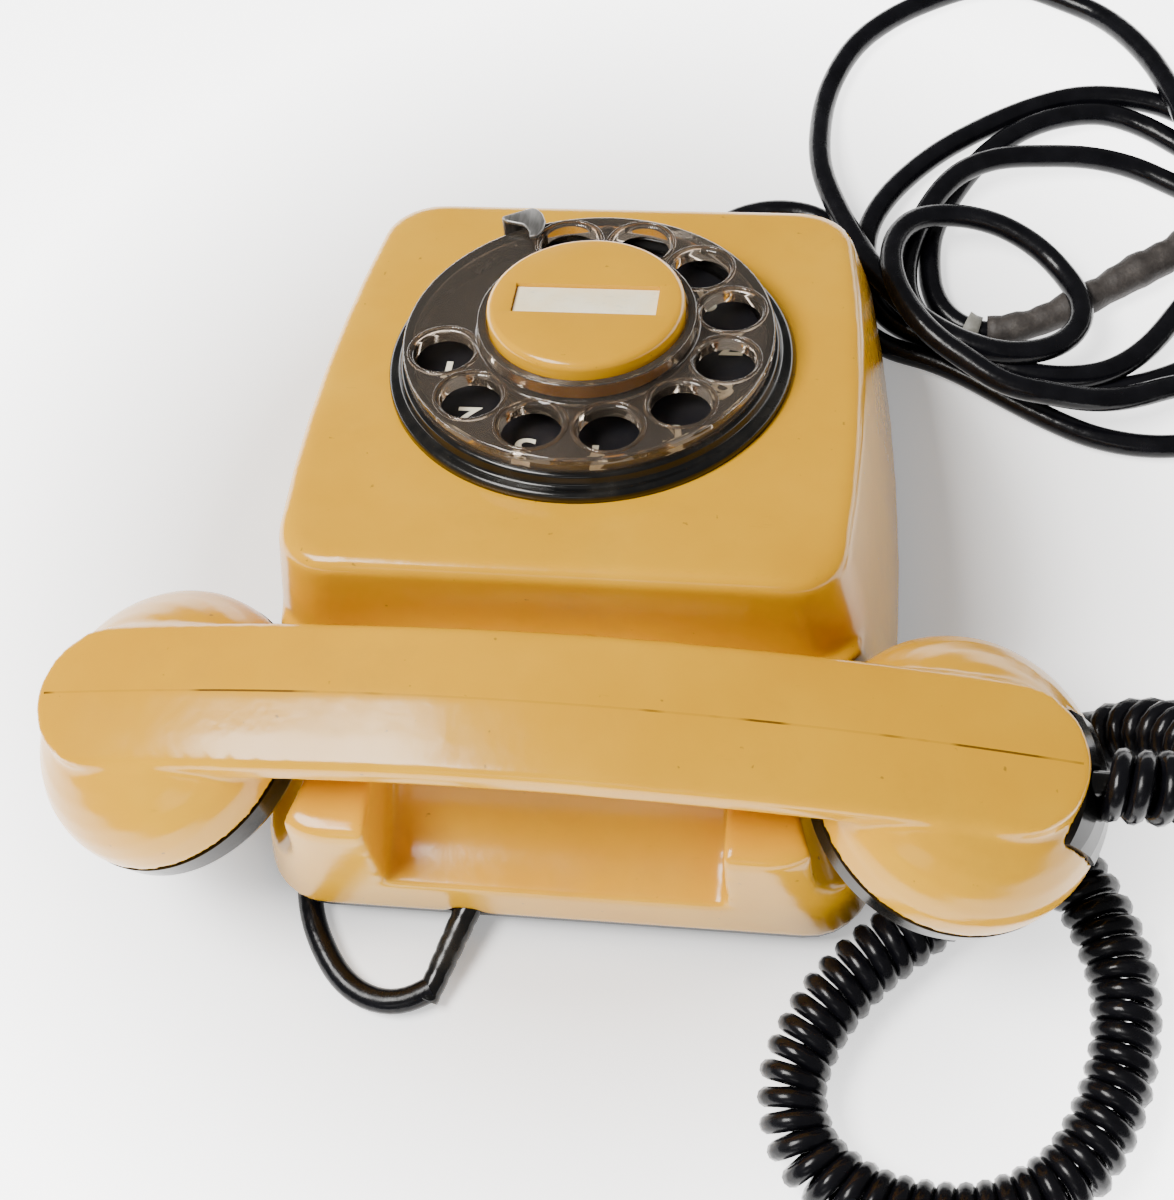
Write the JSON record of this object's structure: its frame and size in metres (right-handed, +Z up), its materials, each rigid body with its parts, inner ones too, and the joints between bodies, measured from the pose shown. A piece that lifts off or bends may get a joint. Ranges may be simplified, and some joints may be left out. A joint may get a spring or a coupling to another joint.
{
  "type": "rotary telephone",
  "caption": "Desk telephone with a sloping dial face, a turning finger wheel with return gearing, a lift-off handset on a sprung cradle switch, a ringer and two cords.",
  "frame": {"origin": "on the table, below the middle of the telephone with its handset on", "axes": "+Z up, -Y towards the caller, +X to the caller's right, along the handset"},
  "size_m": [0.3066, 0.3425, 0.0807],
  "materials": {
    "tan_plastic": "glossy, worn",
    "black_plastic": "glossy",
    "plate_black": "satin",
    "base_metal": "satin",
    "clear_wheel": "smoky, clear",
    "white_plastic": "satin",
    "card": "paper",
    "steel": "brushed",
    "stop_metal": "dull",
    "brass": "satin",
    "gong_metal": "polished",
    "spring_steel": "blued",
    "fibre": "pressed fibre",
    "coil_wrap": "varnished",
    "board": "phenolic",
    "core_metal": "varnished",
    "capacitor": "glossy",
    "capsule_metal": "satin",
    "rubber": "matt",
    "cord_black": "glossy"
  },
  "bodies": {
    "phone_base": {"base_plate": "base_metal", "rubber_feet": "rubber", "housing_shell": "tan_plastic", "housing_screws": "steel", "dial_bezel": "black_plastic", "dial_screws": "steel", "number_plate": "plate_black", "dial_frame": "steel", "finger_stop": "stop_metal", "return_spring": "spring_steel", "spring_barrel": "steel", "works_bridge": "brass", "pulse_contacts": "brass", "governor_cup": "steel", "hook_pin": "steel", "hook_bracket": "steel", "hook_contacts": "brass", "ringer_frame": "steel", "ringer_coils": "coil_wrap", "ringer_gongs": "gong_metal", "gong_screws": "steel", "circuit_board": "board", "speech_transformer": "core_metal", "line_capacitor": "capacitor", "terminal_block": "white_plastic", "base_gland": "black_plastic", "line_sleeve": "black_plastic", "line_cord": "cord_black", "line_bundle": "cord_black", "line_tail": "cord_black", "line_plug": "black_plastic", "plug_pins": "brass", "curly_cord": "cord_black"},
    "dial": {"finger_wheel": "clear_wheel", "dial_cap": "tan_plastic", "dial_card": "card", "main_shaft": "steel", "main_gear": "brass"},
    "pulse_gear": {"pulse_shaft": "brass", "pulse_cam": "fibre"},
    "governor": {"governor_shaft": "steel", "governor_weights": "brass"},
    "handset": {"handset_body": "tan_plastic", "ear_cap": "black_plastic", "mouth_cap": "black_plastic", "ear_capsule": "capsule_metal", "mouth_capsule": "capsule_metal", "handset_gland": "black_plastic"},
    "plungers": {"hook_plungers": "white_plastic"},
    "lever": {"hook_lever": "steel"},
    "clapper": {"ringer_clapper": "steel"}
  },
  "joints": [
    {"name": "dial_turn", "type": "hinge", "parent": "phone_base", "child": "dial", "pos_m": [0, -0.03, 0.057], "axis": [0, -0.309, 0.9511], "range_deg": [-330, 0], "stiffness_Nm_per_rad": 0.004, "springref_deg": 20.05},
    {"name": "pulse_spin", "type": "hinge", "parent": "phone_base", "child": "pulse_gear", "pos_m": [-0.0291, -0.03, 0.057], "axis": [0, -0.309, 0.9511], "range_deg": [0, 1590]},
    {"name": "governor_spin", "type": "hinge", "parent": "phone_base", "child": "governor", "pos_m": [-0.0389, -0.02481, 0.04102], "axis": [0, 0.9511, 0.309], "range_deg": [0, 23800]},
    {"name": "handset_lift", "type": "slide", "parent": "phone_base", "child": "handset", "axis": [0, 0, 1], "range_m": [0, 0.04]},
    {"name": "plunger_rise", "type": "slide", "parent": "phone_base", "child": "plungers", "axis": [0, 0, 1], "range_m": [0, 0.004]},
    {"name": "lever_swing", "type": "hinge", "parent": "phone_base", "child": "lever", "pos_m": [0, 0.048, 0.024], "axis": [1, 0, 0], "range_deg": [0, 17.2]},
    {"name": "clapper_swing", "type": "hinge", "parent": "phone_base", "child": "clapper", "pos_m": [0, -0.006, 0.028], "axis": [0, 0, 1], "range_deg": [-7, 7]}
  ],
  "couplings": [
    {"joint": "pulse_spin", "follows": "dial_turn", "ratio": -4.8},
    {"joint": "governor_spin", "follows": "dial_turn", "ratio": -72},
    {"joint": "plunger_rise", "follows": "handset_lift", "ratio": 0.1},
    {"joint": "lever_swing", "follows": "handset_lift", "rad_per_m": 7.4}
  ]
}
